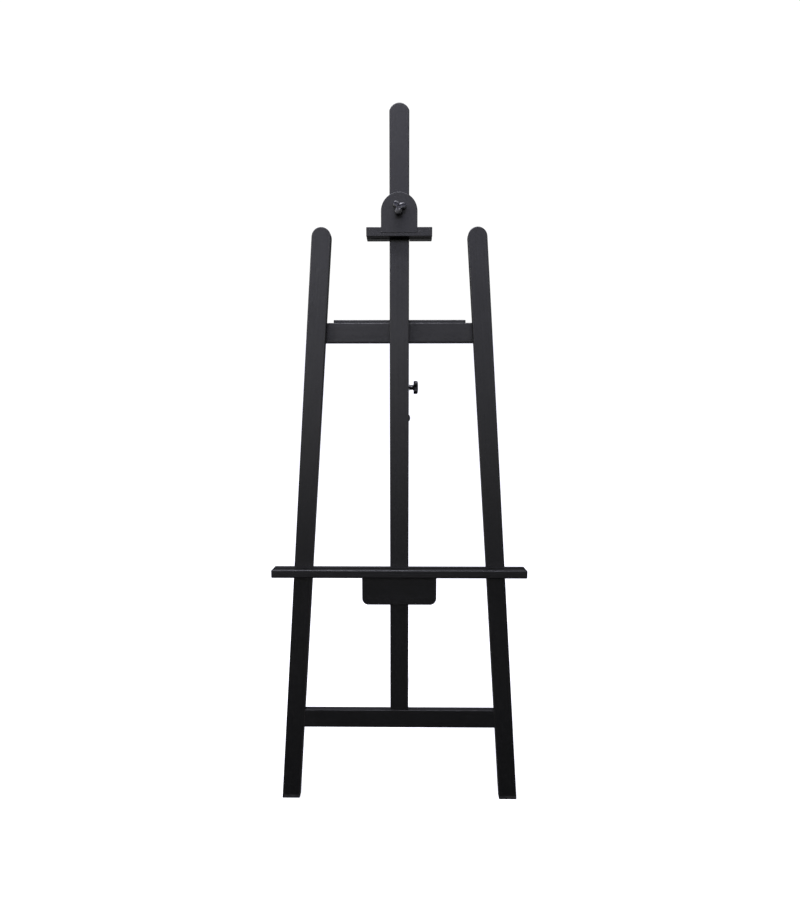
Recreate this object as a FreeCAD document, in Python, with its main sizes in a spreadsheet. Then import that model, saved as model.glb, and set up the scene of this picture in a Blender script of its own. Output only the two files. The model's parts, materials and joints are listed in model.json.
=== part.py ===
"""Studio display easel, modelled as its separate pieces, in millimetres.

Every piece is drawn in the easel's own plane: x to the right, y to the rear, z up along the
mast, with y = 0 on the front faces of the mast and front legs and z = 0 at their front toes.
The whole is then leaned back, so that it stands on a level floor with +Z up.
"""

import FreeCAD
import Part
import Sketcher

import math
import os
from types import SimpleNamespace

DIMENSIONS = {
    # stance
    "lean": 12.0,
    "leg_splay": 4.12,
    "rear_opening": 28.0,
    # timber
    "mast_width": 41.5,
    "board_thick": 20.0,
    "leg_width": 41.5,
    "edge_round": 2.0,
    "bar_round": 1.5,
    "fine_round": 1.2,
    "ledge_round": 2.5,
    "fit_gap": 0.4,
    # mast and front legs
    "mast_foot": 219.0,
    "mast_top": 1529.0,
    "mast_crown": 15.0,
    "leg_toe_x": 256.2,
    "leg_length": 1289.5,
    "pad_thick": 8.0,
    # rails
    "rail_height": 42.0,
    "lower_rail_low": 177.0,
    "upper_rail_low": 1051.0,
    "upper_rail_thick": 18.0,
    "upper_rail_length": 392.0,
    "backing_low": 1056.0,
    "backing_height": 46.0,
    "backing_length": 290.0,
    "backing_thick": 12.0,
    # rear leg and the fork that holds it
    "pivot_back": 88.0,
    "pivot_up": 890.0,
    "rear_leg_thick": 19.5,
    "rear_leg_depth": 40.0,
    "stud_reach": 76.0,
    "cheek_thick": 10.0,
    "cheek_margin": 22.0,
    "cheek_top": 1048.0,
    "cheek_corner": 30.0,
    "slot_half": 3.6,
    "slot_swing": 32.0,
    "spacer_low": 994.0,
    "spacer_depth": 70.0,
    # hardware
    "pivot_radius": 4.0,
    "bush_radius": 5.5,
    "bush_bore": 4.05,
    "stud_radius": 3.0,
    "insert_radius": 4.5,
    "insert_bore": 3.05,
    "dowel_radius": 4.0,
    "small_dowel": 3.0,
    "screw_shank": 2.0,
    "screw_head": 4.0,
    "washer_radius": 6.5,
    # lengths of the dowels and screws
    "foot_dowel_length": 40.0,
    "rail_dowel_length": 34.0,
    "fork_dowel_length": 28.0,
    "ledge_dowel_length": 20.0,
    "leg_screw_length": 34.0,
    "plate_screw_length": 26.0,
    "mast_screw_length": 44.0,
    "fork_screw_length": 16.0,
    "clamp_screw_length": 28.0,
    "tray_screw_length": 40.0,
    # knobs
    "knob_radius": 15.8,
    "knob_thick": 10.0,
    "scallop_radius": 20.6,
    "scallop_centre": 29.8,
    "lobe_round": 4.2,
    "knob_edge": 2.2,
    "hub_radius": 5.5,
    "hub_length": 8.5,
    "stud_grip": 12.0,
    "running_gap": 0.3,
    # top clamp
    "clamp_low": 1261.0,
    "clamp_width": 137.5,
    "clamp_height": 19.0,
    "clamp_front": 20.0,
    "clamp_knob_up": 1314.0,
    "arch_middle": 1311.0,
    "arch_width": 76.0,
    "tongue_low": 1268.0,
    "tongue_thick": 9.0,
    "clamp_rear_low": 1267.0,
    "clamp_rear_width": 75.0,
    "clamp_rear_height": 34.0,
    "closing_thick": 12.0,
    # tray
    "ledge_top": 559.5,
    "ledge_length": 560.0,
    "ledge_depth": 50.0,
    "ledge_thick": 18.0,
    "apron_low": 473.5,
    "apron_width": 166.5,
    "apron_thick": 15.0,
    "apron_corner": 14.5,
    "guide_width": 24.0,
    "guide_low": 480.0,
    "guide_height": 54.0,
    # grooves in the clamp bar and the ledge
    "clamp_groove_wide": 9.0,
    "clamp_groove_deep": 5.0,
    "clamp_groove_front": 12.0,
    "ledge_groove_wide": 12.0,
    "ledge_groove_deep": 6.0,
    "ledge_groove_front": 34.0,
}

X_AXIS = FreeCAD.Vector(1, 0, 0)
Y_AXIS = FreeCAD.Vector(0, 1, 0)
Z_AXIS = FreeCAD.Vector(0, 0, 1)

doc = FreeCAD.newDocument("DisplayEasel")


class Size:
    """A number with the spreadsheet expression that gives it."""

    def __init__(self, value, text):
        self.value = value
        self.text = text

    def joined(self, other, sign, value):
        return Size(value, f"({self.text} {sign} {text_of(other)})")

    def __add__(self, other):
        return self.joined(other, "+", self.value + number(other))

    def __sub__(self, other):
        return self.joined(other, "-", self.value - number(other))

    def __mul__(self, other):
        return self.joined(other, "*", self.value * number(other))

    def __truediv__(self, other):
        return self.joined(other, "/", self.value / number(other))

    def __neg__(self):
        return Size(-self.value, f"(-1 * {self.text})")


def number(size):
    return size.value if isinstance(size, Size) else size


def text_of(size):
    return size.text if isinstance(size, Size) else f"({size})"


def sine(angle):
    return Size(math.sin(math.radians(number(angle))), f"sin({text_of(angle)})")


def cosine(angle):
    return Size(math.cos(math.radians(number(angle))), f"cos({text_of(angle)})")


def tangent(angle):
    return Size(math.tan(math.radians(number(angle))), f"tan({text_of(angle)})")


def make_sheet():
    """The driving dimensions, one named cell each."""
    sheet = doc.addObject("Spreadsheet::Sheet", "Sizes")
    for row, (name, value) in enumerate(DIMENSIONS.items(), start=1):
        sheet.set(f"A{row}", name)
        sheet.set(f"B{row}", str(value))
        sheet.setAlias(f"B{row}", name)
    doc.recompute()
    return SimpleNamespace(**{name: Size(float(sheet.get(name)), f"Sizes.{name}") for name in DIMENSIONS})


S = make_sheet()


# ---------------------------------------------------------------- helpers

def bind(thing, prop, size):
    """Set a property and tie it to the sheet."""
    setattr(thing, prop, number(size))
    if isinstance(size, Size):
        thing.setExpression(prop, size.text)


def at(x, y, z, axis=Z_AXIS, angle=0.0):
    """A placement at a point, turned by an angle about an axis."""
    return FreeCAD.Placement(
        FreeCAD.Vector(number(x), number(y), number(z)), FreeCAD.Rotation(axis, number(angle))
    )


def box(label, size_x, size_y, size_z, x, y, z):
    """A box from its three lengths and its low corner."""
    solid = doc.addObject("Part::Box", label)
    bind(solid, "Length", size_x)
    bind(solid, "Width", size_y)
    bind(solid, "Height", size_z)
    solid.Placement = at(x, y, z)
    return solid


def rod(label, radius, length, x, y, z, along):
    """A cylinder that starts at a point and runs along a direction."""
    solid = doc.addObject("Part::Cylinder", label)
    bind(solid, "Radius", radius)
    bind(solid, "Height", length)
    solid.Placement = FreeCAD.Placement(
        FreeCAD.Vector(number(x), number(y), number(z)), FreeCAD.Rotation(Z_AXIS, along)
    )
    return solid


def cut(label, base, *tools):
    """The base with all the tools taken out of it."""
    tool = tools[0]
    if len(tools) > 1:
        tool = doc.addObject("Part::MultiFuse", label + "_tools")
        tool.Shapes = list(tools)
    result = doc.addObject("Part::Cut", label)
    result.Base = base
    result.Tool = tool
    return result


def group(label, *solids):
    """Several separate solids that share one node."""
    result = doc.addObject("Part::Compound", label)
    result.Links = list(solids)
    return result


def origin_plane(body, role):
    return next(feature for feature in body.Origin.OriginFeatures if feature.Role == role)


def new_sketch(body, role):
    sketch = body.newObject("Sketcher::SketchObject", body.Name + "_sketch")
    sketch.AttachmentSupport = [(origin_plane(body, role), "")]
    sketch.MapMode = "FlatFace"
    return sketch


def fix_point(sketch, geometry, which, point):
    """Hold a point of the sketch at its two distances from the origin."""
    for kind, size in zip(("DistanceX", "DistanceY"), point):
        index = sketch.addConstraint(Sketcher.Constraint(kind, -1, 1, geometry, which, number(size)))
        if isinstance(size, Size):
            sketch.setExpression(f"Constraints[{index}]", size.text)


def outline(sketch, corners, bulges=None):
    """A closed outline through the corners; bulges maps a side to a point that its arc passes."""
    bulges = bulges or {}
    flat = [FreeCAD.Vector(number(x), number(y), 0) for x, y in corners]
    sides = []
    for side, start in enumerate(flat):
        end = flat[(side + 1) % len(flat)]
        if side in bulges:
            middle = FreeCAD.Vector(number(bulges[side][0]), number(bulges[side][1]), 0)
            arc = Part.Arc(start, middle, end)
            sides.append(sketch.addGeometry(arc, False))
        else:
            sides.append(sketch.addGeometry(Part.LineSegment(start, end), False))
    for side, geometry in enumerate(sides):
        curve = sketch.Geometry[geometry]
        if curve.StartPoint.distanceToPoint(flat[side]) < curve.EndPoint.distanceToPoint(flat[side]):
            first = 1
        else:
            first = 2
        following = sides[(side + 1) % len(sides)]
        next_curve = sketch.Geometry[following]
        corner = flat[(side + 1) % len(flat)]
        near_start = next_curve.StartPoint.distanceToPoint(corner) < next_curve.EndPoint.distanceToPoint(corner)
        sketch.addConstraint(
            Sketcher.Constraint("Coincident", geometry, 3 - first, following, 1 if near_start else 2)
        )
        fix_point(sketch, geometry, first, corners[side])
        if side in bulges:
            mark = sketch.addGeometry(
                Part.Point(FreeCAD.Vector(number(bulges[side][0]), number(bulges[side][1]), 0)), True
            )
            fix_point(sketch, mark, 1, bulges[side])
            sketch.addConstraint(Sketcher.Constraint("PointOnObject", mark, 1, geometry))


def circle(sketch, radius, x=0.0, y=0.0):
    geometry = sketch.addGeometry(
        Part.Circle(FreeCAD.Vector(number(x), number(y), 0), Z_AXIS, number(radius)), False
    )
    fix_point(sketch, geometry, 3, (x, y))
    index = sketch.addConstraint(Sketcher.Constraint("Radius", geometry, number(radius)))
    if isinstance(radius, Size):
        sketch.setExpression(f"Constraints[{index}]", radius.text)


def pad(body, sketch, length, backwards=False):
    feature = body.newObject("PartDesign::Pad", body.Name + "_pad")
    feature.Profile = sketch
    feature.Reversed = backwards
    bind(feature, "Length", length)
    return feature


def ease(body, radius, edges=None):
    """Round edges of a body: the named ones, or all of them."""
    base = (body.Tip, [""]) if edges is None else edges
    feature = body.newObject("PartDesign::Fillet", body.Name + "_eased")
    feature.Base = base
    feature.UseAllEdges = edges is None
    bind(feature, "Radius", radius)
    body.Tip = feature
    return feature


def edges_where(feature, test):
    """A feature's edges that pass a test, in the form that a dress-up feature takes."""
    doc.recompute()
    names = [f"Edge{i}" for i, edge in enumerate(feature.Shape.Edges, start=1) if test(edge)]
    return feature, names


def board(label, corners, thickness, place, bulges=None, role="XZ_Plane", rounding=S.edge_round):
    """A flat piece of timber: an outline padded to its thickness, every edge eased."""
    body = doc.addObject("PartDesign::Body", label)
    sketch = new_sketch(body, role)
    outline(sketch, corners, bulges)
    body.Tip = pad(body, sketch, thickness, backwards=role == "XZ_Plane")
    doc.recompute()
    if rounding is not None:
        ease(body, rounding)
    body.Placement = place
    return body


def plank(label, width, height, thickness, place, rounding=S.edge_round):
    """A rectangular board, centred in x, standing on its origin, reaching to the rear."""
    half = width / 2
    corners = [(-half, 0), (half, 0), (half, height), (-half, height)]
    return board(label, corners, thickness, place, rounding=rounding)


def turned(label, profile, place, bulges=None):
    """A piece with a round section: pairs of radius and height, turned about the z axis."""
    body = doc.addObject("PartDesign::Body", label)
    sketch = new_sketch(body, "XZ_Plane")
    outline(sketch, profile, bulges)
    feature = body.newObject("PartDesign::Revolution", label + "_turn")
    feature.Profile = sketch
    feature.ReferenceAxis = (sketch, ["V_Axis"])
    feature.Angle = 360
    body.Tip = feature
    body.Placement = place
    return body


def facing(x, y, z, direction):
    """A placement whose z axis points along a direction."""
    return FreeCAD.Placement(
        FreeCAD.Vector(number(x), number(y), number(z)), FreeCAD.Rotation(Z_AXIS, direction)
    )


def tube_profile(inner, outer, length):
    """A plain ring or sleeve, for turning."""
    return [(inner, 0), (outer, 0), (outer, length), (inner, length)]


def pin_profile(radius, length, nose):
    """A pin with both ends chamfered, for turning."""
    return [
        (0, 0), (radius - nose, 0), (radius, nose),
        (radius, length - nose), (radius - nose, length), (0, length),
    ]


def dowel(label, radius, length, x, y, z, along):
    """A wooden dowel with chamfered ends."""
    nose = 1.0
    return turned(label, pin_profile(radius, length, nose), facing(x, y, z, along))


def dowel_hole(label, radius, length, x, y, z, along):
    """The hole for a dowel, a little deeper than the dowel at both ends."""
    spare = 0.5
    start = FreeCAD.Vector(number(x), number(y), number(z)) - along * spare
    return rod(label, radius, length + 2 * spare, start.x, start.y, start.z, along)


def screw_profile(length):
    """A countersunk head, a shank and a blunt point."""
    taper = 2.4
    point = 3.0
    tip = 0.4
    return [
        (0, 0), (S.screw_head, 0), (S.screw_shank, taper),
        (S.screw_shank, length - point), (tip, length), (0, length),
    ]


def screw(label, length, x, y, z, along):
    """A countersunk wood screw, its head at the start, with a cross recess."""
    body = turned(label, screw_profile(length), facing(x, y, z, along))
    recess = new_sketch(body, "XY_Plane")
    arm = 2.0
    half = 0.45
    depth = 1.4
    corners = [
        (half, half), (arm, half), (arm, -half), (half, -half), (half, -arm), (-half, -arm),
        (-half, -half), (-arm, -half), (-arm, half), (-half, half), (-half, arm), (half, arm),
    ]
    outline(recess, corners)
    pocket = body.newObject("PartDesign::Pocket", label + "_recess")
    pocket.Profile = recess
    pocket.Length = depth
    pocket.Reversed = True
    body.Tip = pocket
    return body


def screw_hole(label, length, x, y, z, along):
    """The hole that a screw sits in."""
    return turned(label, screw_profile(length), facing(x, y, z, along))


def finish_node(solid, name, place):
    """Give a piece its name and its final place, and remember it."""
    solid.Label = name
    solid.Placement = place * solid.Placement
    nodes[name] = solid


nodes = {}

# Derived places that several pieces share
half_mast = S.mast_width / 2
half_leg = S.leg_width / 2
half_board = S.board_thick / 2
sides = {"left": -1, "right": 1}
LEAN = at(0, 0, 0, X_AXIS, -S.lean)
UNDERGROUND = -200.0
WASHER_THICK = 1.5


def leg_x(height):
    """Distance of a front leg's centre line from the mast's at a height."""
    return S.leg_toe_x - height * tangent(S.leg_splay)


def floor_slab(label, place, low, high):
    """A slab of world space between two heights, seen from a piece's own frame."""
    reach = 1600.0
    slab = box(label, reach, reach, high - low, 0, 0, 0)
    slab.Placement = place.inverse() * at(-reach / 2, -reach / 2, low)
    return slab


# ---------------------------------------------------------------- frame

def foot_dowel_places():
    """Two dowels stand in the lower rail and reach up into the mast's foot."""
    spread = 9.0
    return [(spread * side, half_board, S.mast_foot - S.foot_dowel_length / 2) for side in sides.values()]


def fork_dowel_places():
    """Two dowels a side run to the rear from the mast into a fork cheek."""
    cheek_middle = half_mast - S.cheek_thick / 2
    front_end = 8.0
    above_pivot = 12.0
    below_top = 26.0
    return [
        (side, (cheek_middle * side, front_end, height))
        for side in sides.values()
        for height in (S.pivot_up + above_pivot, S.cheek_top - below_top)
    ]


def back_face():
    """The rear face of the backing plate."""
    return S.board_thick + S.upper_rail_thick + S.backing_thick


def rail_middle():
    return S.upper_rail_low + S.rail_height / 2


def mast_screw_places():
    """Two long screws through the plate and the rail into the mast."""
    spread = 11.0
    return [(spread * side, back_face(), rail_middle()) for side in sides.values()]


def plate_screw_places():
    """Four screws that hold the backing plate to the upper rail."""
    from_end = 20.0
    outer = S.backing_length / 2 - from_end
    return [(x * side, back_face(), rail_middle()) for side in sides.values() for x in (outer, outer / 2)]


def leg_screw_places(side):
    """Two screws, set askew, through one end of the upper rail into a leg."""
    spread = 8.0
    rear = S.board_thick + S.upper_rail_thick
    middle = leg_x(rail_middle()) * side
    return [(middle - spread, rear, rail_middle() + spread), (middle + spread, rear, rail_middle() - spread)]


def make_mast():
    """The flat central bar, crowned at the top."""
    length = S.mast_top - S.mast_foot
    shoulder = length - S.mast_crown
    corners = [(-half_mast, 0), (half_mast, 0), (half_mast, shoulder), (-half_mast, shoulder)]
    blank = board("mast_blank", corners, S.board_thick, at(0, 0, S.mast_foot), bulges={2: (0, length)})
    holes = []
    for spot in foot_dowel_places():
        holes.append(dowel_hole("mast_foot_hole", S.dowel_radius, S.foot_dowel_length, *spot, Z_AXIS))
    for _, spot in fork_dowel_places():
        holes.append(dowel_hole("mast_fork_hole", S.small_dowel, S.fork_dowel_length, *spot, Y_AXIS))
    for spot in mast_screw_places():
        holes.append(screw_hole("mast_screw_hole", S.mast_screw_length, *spot, -Y_AXIS))
    finish_node(cut("mast", blank, *holes), "mast", LEAN)


def rail_end(height):
    """Half the lower rail's length at a height: it meets the legs' sloping inner edges."""
    return leg_x(height) - half_leg / cosine(S.leg_splay)


def rail_dowel_places(side):
    """Where the dowels at one end of the lower rail start: half in the rail, half in the leg."""
    from_edge = 12.0
    heights = (S.lower_rail_low + from_edge, S.lower_rail_low + S.rail_height - from_edge)
    return [((rail_end(z) - S.rail_dowel_length / 2) * side, half_board, z) for z in heights]


def make_front_legs():
    """Splayed boards with half-round tops, cut level at the floor, each on a rubber pad."""
    spare = 30.0
    top = S.leg_length - half_leg
    corners = [(-half_leg, -spare), (half_leg, -spare), (half_leg, top), (-half_leg, top)]
    bulge = {2: (0, S.leg_length)}
    for name, side in sides.items():
        place = at(S.leg_toe_x * side, 0, 0, Y_AXIS, -S.leg_splay * side)
        blank = board(f"leg_{name}_blank", corners, S.board_thick, place, bulges=bulge)
        tools = [floor_slab(f"leg_{name}_below", LEAN, UNDERGROUND, S.pad_thick)]
        for spot in rail_dowel_places(side):
            hole = dowel_hole("leg_dowel_hole", S.dowel_radius, S.rail_dowel_length, *spot, X_AXIS * side)
            tools.append(hole)
        for spot in leg_screw_places(side):
            tools.append(screw_hole("leg_screw_hole", S.leg_screw_length, *spot, -Y_AXIS))
        finish_node(cut(f"front_leg_{name}", blank, *tools), f"front_leg_{name}", LEAN)

        foot = doc.addObject("Part::Common", f"foot_pad_{name}")
        foot.Base = board(f"pad_{name}_blank", corners, S.board_thick, place, bulges=bulge)
        foot.Tool = floor_slab(f"pad_{name}_slab", LEAN, 0.0, S.pad_thick)
        finish_node(foot, f"front_foot_pad_{name}", LEAN)


def make_lower_rail():
    """The rail between the legs that the mast stands on, held by dowels at both ends."""
    low = S.lower_rail_low
    high = low + S.rail_height
    corners = [
        (-rail_end(low), 0), (rail_end(low), 0),
        (rail_end(high), S.rail_height), (-rail_end(high), S.rail_height),
    ]
    blank = board("lower_rail_blank", corners, S.board_thick, at(0, 0, low), rounding=S.fine_round)
    holes = []
    pegs = []
    for side in sides.values():
        for spot in rail_dowel_places(side):
            place = (S.dowel_radius, S.rail_dowel_length, *spot, X_AXIS * side)
            holes.append(dowel_hole("rail_dowel_hole", *place))
            pegs.append(dowel("rail_dowel", *place))
    feet = []
    for spot in foot_dowel_places():
        place = (S.dowel_radius, S.foot_dowel_length, *spot, Z_AXIS)
        holes.append(dowel_hole("rail_foot_hole", *place))
        feet.append(dowel("mast_foot_dowel", *place))
    finish_node(cut("lower_rail", blank, *holes), "lower_rail", LEAN)
    finish_node(group("lower_rail_dowels", *pegs), "lower_rail_dowels", LEAN)
    finish_node(group("mast_foot_dowels", *feet), "mast_foot_dowels", LEAN)


def make_upper_rail():
    """A board behind the mast and legs, with the wider backing plate screwed to its rear."""
    front = S.board_thick
    rear = front + S.upper_rail_thick
    rail = plank(
        "upper_rail_blank", S.upper_rail_length, S.rail_height, S.upper_rail_thick,
        at(0, front, S.upper_rail_low)
    )
    plate = plank(
        "backing_blank", S.backing_length, S.backing_height, S.backing_thick, at(0, rear, S.backing_low)
    )
    rail_holes = []
    plate_holes = []
    screws = {"rail_to_leg_screws": [], "backing_plate_screws": [], "rail_to_mast_screws": []}
    for side in sides.values():
        for spot in leg_screw_places(side):
            rail_holes.append(screw_hole("rail_screw_hole", S.leg_screw_length, *spot, -Y_AXIS))
            screws["rail_to_leg_screws"].append(screw("rail_screw", S.leg_screw_length, *spot, -Y_AXIS))
    for name, length, spots in (
        ("backing_plate_screws", S.plate_screw_length, plate_screw_places()),
        ("rail_to_mast_screws", S.mast_screw_length, mast_screw_places()),
    ):
        for spot in spots:
            for holes in (rail_holes, plate_holes):
                holes.append(screw_hole("plate_screw_hole", length, *spot, -Y_AXIS))
            screws[name].append(screw("plate_screw", length, *spot, -Y_AXIS))
    finish_node(cut("upper_rail", rail, *rail_holes), "upper_rail", LEAN)
    finish_node(cut("rail_backing_plate", plate, *plate_holes), "rail_backing_plate", LEAN)
    for name, solids in screws.items():
        finish_node(group(name, *solids), name, LEAN)


# ---------------------------------------------------------------- fork and rear leg

def make_arc_slot():
    """The curved slot that the tilt stud travels in: a ring's sector with round ends."""
    beyond = 2.0
    length = S.cheek_thick + 2 * beyond
    start = half_mast - S.cheek_thick - beyond
    upright = FreeCAD.Rotation(Z_AXIS, X_AXIS) * FreeCAD.Rotation(Z_AXIS, 180)
    place = FreeCAD.Placement(at(start, S.pivot_back, S.pivot_up).Base, upright)
    outer = doc.addObject("Part::Cylinder", "slot_outer")
    inner = doc.addObject("Part::Cylinder", "slot_inner")
    for disc, radius in ((outer, S.stud_reach + S.slot_half), (inner, S.stud_reach - S.slot_half)):
        bind(disc, "Radius", radius)
        bind(disc, "Height", length)
        disc.Placement = place
    bind(outer, "Angle", S.slot_swing)
    ends = []
    for angle in (0, S.slot_swing):
        y = S.pivot_back - S.stud_reach * sine(angle)
        z = S.pivot_up + S.stud_reach * cosine(angle)
        ends.append(rod("slot_end", S.slot_half, length, start, y, z, X_AXIS))
    slot = doc.addObject("Part::MultiFuse", "arc_slot")
    slot.Shapes = [cut("slot_sector", outer, inner), *ends]
    return slot


def fork_screw_places():
    """Two screws a side, through a cheek into the spacer."""
    below_top = 20.0
    from_mast = (16.0, 52.0)
    return [
        (side, (half_mast * side, S.board_thick + y, S.cheek_top - below_top))
        for side in sides.values()
        for y in from_mast
    ]


def sleeve_nut_profile():
    """The pivot's sleeve nut, let in flush from the left: a thin flange and a barrel."""
    flange = 8.0
    flange_thick = 2.0
    barrel = 5.5
    return [
        (0, 0), (flange, 0), (flange, flange_thick),
        (barrel, flange_thick), (barrel, S.cheek_thick), (0, S.cheek_thick),
    ]


def make_fork():
    """Two cheeks behind the mast with a spacer between them; the rear leg hangs in the gap."""
    front = S.board_thick
    margin = S.cheek_margin
    edge = front - S.pivot_back
    top = S.cheek_top - S.pivot_up
    corner = S.cheek_corner
    diagonal = math.sqrt(0.5)
    corners = [
        (edge, -margin), (0, -margin), (margin, 0), (margin, top - corner), (margin - corner, top), (edge, top)
    ]
    bulges = {
        1: (margin * diagonal, -margin * diagonal),
        3: (margin - corner + corner * diagonal, top - corner + corner * diagonal),
    }
    inside = half_mast - S.cheek_thick
    beyond = 2.0
    seat = turned("sleeve_nut_seat", sleeve_nut_profile(), facing(-half_mast, S.pivot_back, S.pivot_up, X_AXIS))
    hole_start = (inside - beyond, S.pivot_back, S.pivot_up)
    hole = rod("pivot_hole", S.pivot_radius, S.cheek_thick + 2 * beyond, *hole_start, X_AXIS)
    tools = {"left": [seat], "right": [hole, make_arc_slot()]}
    names = {side: name for name, side in sides.items()}
    pegs = []
    for side, spot in fork_dowel_places():
        place = (S.small_dowel, S.fork_dowel_length, *spot, Y_AXIS)
        tools[names[side]].append(dowel_hole("cheek_dowel_hole", *place))
        pegs.append(dowel("fork_dowel", *place))
    spacer_holes = []
    screws = []
    for side, spot in fork_screw_places():
        place = (S.fork_screw_length, *spot, X_AXIS * -side)
        for holes in (tools[names[side]], spacer_holes):
            holes.append(screw_hole("fork_screw_hole", *place))
        screws.append(screw("fork_screw", *place))
    for name, side in sides.items():
        start = inside if side > 0 else -half_mast
        place = at(start, S.pivot_back, S.pivot_up)
        blank = board(f"cheek_{name}_blank", corners, S.cheek_thick, place, bulges, "YZ_Plane", S.fine_round)
        finish_node(cut(f"fork_cheek_{name}", blank, *tools[name]), f"fork_cheek_{name}", LEAN)
    height = S.cheek_top - S.spacer_low
    spacer = plank("spacer_blank", inside * 2, height, S.spacer_depth, at(0, front, S.spacer_low), S.fine_round)
    finish_node(cut("fork_spacer", spacer, *spacer_holes), "fork_spacer", LEAN)
    finish_node(group("fork_dowels", *pegs), "fork_dowels", LEAN)
    finish_node(group("fork_screws", *screws), "fork_screws", LEAN)


def make_pivot():
    """Domed bolt from the right, sleeve nut from the left, a thin spacer beside each cheek."""
    radius = S.pivot_radius
    short_of_left = 4.0
    shank = S.mast_width - short_of_left
    nose = 0.6
    head = 7.2
    brim = 0.8
    dome = 3.2
    ball = (head ** 2 + (dome - brim) ** 2) / (2 * (dome - brim))
    half_turn = math.asin(head / ball) / 2
    profile = [
        (0, -shank), (radius - nose, -shank), (radius, -shank + nose),
        (radius, 0), (head, 0), (head, brim), (0, dome),
    ]
    crown = (ball * math.sin(half_turn), dome - ball + ball * math.cos(half_turn))
    place = facing(half_mast, S.pivot_back, S.pivot_up, X_AXIS)
    finish_node(turned("pivot_bolt_body", profile, place, {5: crown}), "pivot_bolt", LEAN)

    web = 2.6
    sleeve_place = facing(-half_mast, S.pivot_back, S.pivot_up, X_AXIS)
    sleeve = turned("sleeve_body", sleeve_nut_profile(), sleeve_place)
    bore = rod("sleeve_bore", radius, S.cheek_thick, -half_mast + web, S.pivot_back, S.pivot_up, X_AXIS)
    key = doc.addObject("Part::Prism", "sleeve_key")
    key.Polygon = 6
    key.Circumradius = 2.9
    key.Height = 1.6
    key.Placement = sleeve_place
    finish_node(cut("pivot_sleeve_nut", sleeve, bore, key), "pivot_sleeve_nut", LEAN)

    thick = 0.7
    rings = []
    for side in sides.values():
        start = (half_mast - S.cheek_thick) * side
        place = facing(start, S.pivot_back, S.pivot_up, X_AXIS * -side)
        rings.append(turned("pivot_spacer", tube_profile(S.bush_bore, S.washer_radius, thick), place))
    finish_node(group("pivot_spacers", *rings), "pivot_spacers", LEAN)


REAR = LEAN * at(0, S.pivot_back, S.pivot_up, X_AXIS, S.rear_opening)


def make_rear_leg():
    """Drawn with its pivot at the origin and its length along z, then swung to the rear."""
    half = S.rear_leg_depth / 2
    thick = S.rear_leg_thick
    half_thick = thick / 2
    spare = 30.0
    lean_back = S.rear_opening - S.lean
    drop = (REAR.Base.z + spare) / cosine(lean_back).value
    corners = [(-half, -drop), (half, -drop), (half, S.stud_reach), (-half, S.stud_reach)]
    bulge = {2: (0, S.stud_reach + half)}
    start = at(-half_thick, 0, 0)
    blank = board("rear_leg_blank", corners, thick, start, bulge, "YZ_Plane")
    stud_length = 36.0
    stud_start = -2.0
    nose = 0.6
    tools = [
        floor_slab("rear_leg_below", REAR, UNDERGROUND, S.pad_thick),
        rod("bush_hole", S.bush_radius, thick, -half_thick, 0, 0, X_AXIS),
        rod("stud_hole", S.stud_radius, half_thick - stud_start, stud_start, 0, S.stud_reach, X_AXIS),
    ]
    finish_node(cut("rear_leg", blank, *tools), "rear_leg", REAR)

    foot = doc.addObject("Part::Common", "rear_foot")
    foot.Base = board("rear_pad_blank", corners, thick, start, bulge, "YZ_Plane")
    foot.Tool = floor_slab("rear_pad_slab", REAR, 0.0, S.pad_thick)
    finish_node(foot, "rear_foot_pad", REAR)

    bush = turned("bush", tube_profile(S.bush_bore, S.bush_radius, thick), facing(-half_thick, 0, 0, X_AXIS))
    finish_node(bush, "pivot_bush", REAR)
    stud = turned(
        "stud", pin_profile(S.stud_radius, stud_length, nose), facing(stud_start, 0, S.stud_reach, X_AXIS)
    )
    finish_node(stud, "tilt_stud", REAR)
    washer_bore = 3.2
    washer_start = half_mast + S.running_gap
    washer = turned(
        "washer", tube_profile(washer_bore, S.washer_radius, WASHER_THICK),
        facing(washer_start, 0, S.stud_reach, X_AXIS)
    )
    finish_node(washer, "tilt_washer", REAR)


# ---------------------------------------------------------------- knobs

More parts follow.
